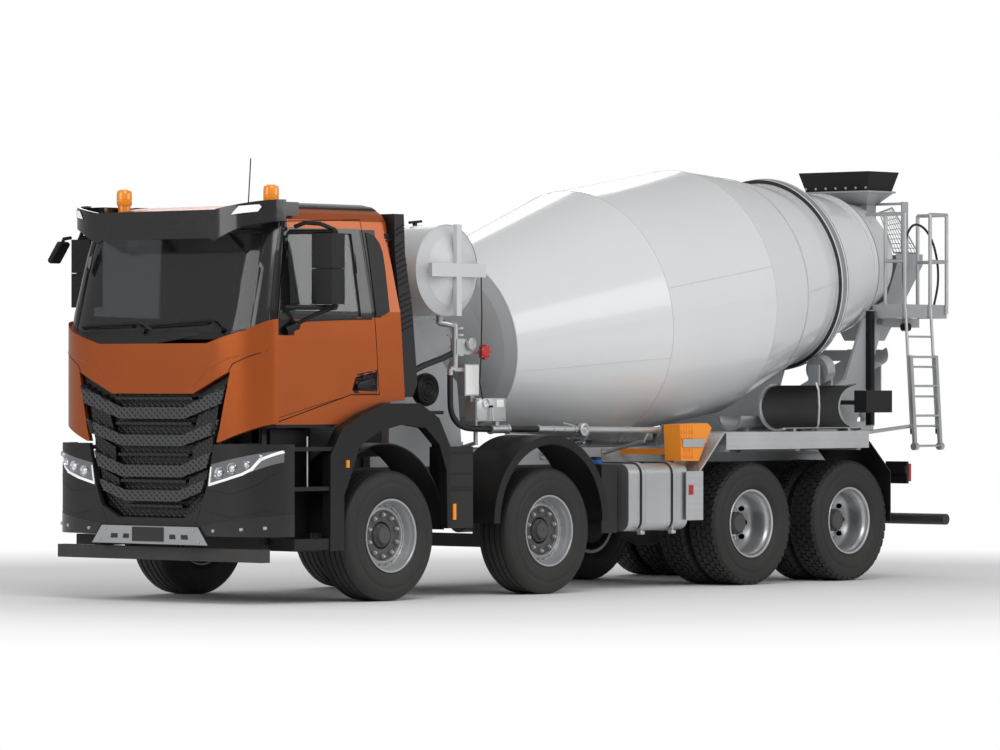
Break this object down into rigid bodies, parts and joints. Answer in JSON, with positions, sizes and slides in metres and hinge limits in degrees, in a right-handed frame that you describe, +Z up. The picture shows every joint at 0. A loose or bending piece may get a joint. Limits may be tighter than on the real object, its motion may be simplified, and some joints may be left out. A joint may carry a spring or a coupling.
{
  "type": "concrete mixer truck",
  "caption": "Four-axle concrete mixer truck with a tilted rotating drum, hopper, swing chute, rear platform, steered front axles and an orange day cab.",
  "frame": {"origin": "on the ground under the middle of the truck's length and width", "axes": "+Z up, -Y the front of the truck, +X its left side"},
  "size_m": [2.96, 9.535, 3.705],
  "materials": {
    "cab_paint": "metallic gloss",
    "body_paint": "gloss",
    "frame_paint": "satin",
    "chassis_paint": "satin",
    "rim_paint": "satin",
    "bare_aluminium": "brushed",
    "galvanised": "satin",
    "engine_metal": "matt",
    "black_plastic": "matt",
    "grey_plastic": "satin",
    "clear_lamp": "clear",
    "amber_lamp": "gloss",
    "cab_glass": "tinted",
    "tyre_rubber": "matt",
    "soft_rubber": "matt",
    "chock_orange": "satin",
    "cab_trim": "matt"
  },
  "bodies": {
    "chassis": {"chassis_frame": "chassis_paint", "axles": "chassis_paint", "engine_block": "engine_metal", "mixer_frame": "frame_paint", "front_pedestal": "frame_paint", "water_tank": "body_paint", "cab_shell": "cab_paint", "cab_interior": "cab_trim", "windscreen": "cab_glass", "sun_visor": "black_plastic", "front_panel": "cab_paint", "grille": "black_plastic", "bumper": "grey_plastic", "headlamps": "clear_lamp", "lamps": "amber_lamp", "mudguards": "black_plastic", "snorkel": "grey_plastic", "side_boxes": "grey_plastic", "fuel_tank": "bare_aluminium", "water_pipework": "galvanised", "suction_hose": "soft_rubber", "hopper": "frame_paint", "hopper_guard": "soft_rubber", "stored_chutes": "galvanised", "platform": "galvanised", "walkways": "bare_aluminium", "chocks": "chock_orange", "platform_hose": "soft_rubber"},
    "knuckle_1_left_body": {"knuckle_1_left": "chassis_paint"},
    "wheel_1_left": {"rim_1_left": "rim_paint", "tyre_1_left": "tyre_rubber"},
    "knuckle_1_right_body": {"knuckle_1_right": "chassis_paint"},
    "wheel_1_right": {"rim_1_right": "rim_paint", "tyre_1_right": "tyre_rubber"},
    "knuckle_2_left_body": {"knuckle_2_left": "chassis_paint"},
    "wheel_2_left": {"rim_2_left": "rim_paint", "tyre_2_left": "tyre_rubber"},
    "knuckle_2_right_body": {"knuckle_2_right": "chassis_paint"},
    "wheel_2_right": {"rim_2_right": "rim_paint", "tyre_2_right": "tyre_rubber"},
    "wheels_3_left": {"rims_3_left": "bare_aluminium", "tyres_3_left": "tyre_rubber"},
    "wheels_3_right": {"rims_3_right": "bare_aluminium", "tyres_3_right": "tyre_rubber"},
    "wheels_4_left": {"rims_4_left": "bare_aluminium", "tyres_4_left": "tyre_rubber"},
    "wheels_4_right": {"rims_4_right": "bare_aluminium", "tyres_4_right": "tyre_rubber"},
    "drum_body": {"drum": "body_paint"},
    "roller_left_body": {"roller_left": "galvanised"},
    "roller_right_body": {"roller_right": "galvanised"},
    "door_left_body": {"door_left": "cab_paint", "door_glass_left": "cab_glass", "mirror_left": "black_plastic"},
    "door_right_body": {"door_right": "cab_paint", "door_glass_right": "cab_glass", "mirror_right": "black_plastic"},
    "chute_swivel_body": {"chute_swivel": "frame_paint"},
    "swing_chute_body": {"swing_chute": "frame_paint"},
    "ladder_lower_body": {"ladder_lower": "galvanised"}
  },
  "joints": [
    {"name": "steer_1_left", "type": "hinge", "parent": "chassis", "child": "knuckle_1_left_body", "pos_m": [0.85, -3.2675, 0.527], "axis": [0, 0, 1], "range_deg": [-35, 35]},
    {"name": "spin_1_left", "type": "hinge", "parent": "knuckle_1_left_body", "child": "wheel_1_left", "pos_m": [1.06, -3.2675, 0.527], "axis": [1, 0, 0], "continuous": true},
    {"name": "steer_1_right", "type": "hinge", "parent": "chassis", "child": "knuckle_1_right_body", "pos_m": [-0.85, -3.2675, 0.527], "axis": [0, 0, 1], "range_deg": [-35, 35]},
    {"name": "spin_1_right", "type": "hinge", "parent": "knuckle_1_right_body", "child": "wheel_1_right", "pos_m": [-1.06, -3.2675, 0.527], "axis": [1, 0, 0], "continuous": true},
    {"name": "steer_2_left", "type": "hinge", "parent": "chassis", "child": "knuckle_2_left_body", "pos_m": [0.85, -1.3375, 0.527], "axis": [0, 0, 1], "range_deg": [-22.28, 22.28]},
    {"name": "spin_2_left", "type": "hinge", "parent": "knuckle_2_left_body", "child": "wheel_2_left", "pos_m": [1.06, -1.3375, 0.527], "axis": [1, 0, 0], "continuous": true},
    {"name": "steer_2_right", "type": "hinge", "parent": "chassis", "child": "knuckle_2_right_body", "pos_m": [-0.85, -1.3375, 0.527], "axis": [0, 0, 1], "range_deg": [-22.28, 22.28]},
    {"name": "spin_2_right", "type": "hinge", "parent": "knuckle_2_right_body", "child": "wheel_2_right", "pos_m": [-1.06, -1.3375, 0.527], "axis": [1, 0, 0], "continuous": true},
    {"name": "spin_3_left", "type": "hinge", "parent": "chassis", "child": "wheels_3_left", "pos_m": [0.9, 1.3495, 0.535], "axis": [1, 0, 0], "continuous": true},
    {"name": "spin_3_right", "type": "hinge", "parent": "chassis", "child": "wheels_3_right", "pos_m": [-0.9, 1.3495, 0.535], "axis": [1, 0, 0], "continuous": true},
    {"name": "spin_4_left", "type": "hinge", "parent": "chassis", "child": "wheels_4_left", "pos_m": [0.9, 2.7305, 0.535], "axis": [1, 0, 0], "continuous": true},
    {"name": "spin_4_right", "type": "hinge", "parent": "chassis", "child": "wheels_4_right", "pos_m": [-0.9, 2.7305, 0.535], "axis": [1, 0, 0], "continuous": true},
    {"name": "drum_spin", "type": "hinge", "parent": "chassis", "child": "drum_body", "pos_m": [0, 1.7325, 2.535], "axis": [0, 0.9892, 0.1466], "continuous": true},
    {"name": "roller_left_spin", "type": "hinge", "parent": "chassis", "child": "roller_left_body", "pos_m": [0.502, 3.23495, 1.87868], "axis": [0, 0.9892, 0.1466], "continuous": true},
    {"name": "roller_right_spin", "type": "hinge", "parent": "chassis", "child": "roller_right_body", "pos_m": [-0.502, 3.23495, 1.87868], "axis": [0, 0.9892, 0.1466], "continuous": true},
    {"name": "door_left_hinge", "type": "hinge", "parent": "chassis", "child": "door_left_body", "pos_m": [1.16, -4.4825, 2.1], "axis": [0, 0, -1], "range_deg": [0, 70]},
    {"name": "door_right_hinge", "type": "hinge", "parent": "chassis", "child": "door_right_body", "pos_m": [-1.16, -4.4825, 2.1], "axis": [0, 0, 1], "range_deg": [0, 70]},
    {"name": "chute_swing", "type": "hinge", "parent": "chassis", "child": "chute_swivel_body", "pos_m": [0, 4.5325, 1.56], "axis": [0, 0, -1], "range_deg": [0, 180]},
    {"name": "chute_tilt", "type": "hinge", "parent": "chute_swivel_body", "child": "swing_chute_body", "pos_m": [0, 4.5325, 2.03], "axis": [0, -1, 0], "range_deg": [-20, 15]},
    {"name": "ladder_slide", "type": "slide", "parent": "chassis", "child": "ladder_lower_body", "axis": [0.0639, 0, -0.998], "range_m": [0, 0.5]}
  ],
  "couplings": [
    {"joint": "steer_1_right", "follows": "steer_1_left", "ratio": 1},
    {"joint": "steer_2_left", "follows": "steer_1_left", "ratio": 0.6364},
    {"joint": "steer_2_right", "follows": "steer_1_left", "ratio": 0.6364},
    {"joint": "roller_left_spin", "follows": "drum_spin", "ratio": -7.024},
    {"joint": "roller_right_spin", "follows": "drum_spin", "ratio": -7.024}
  ]
}
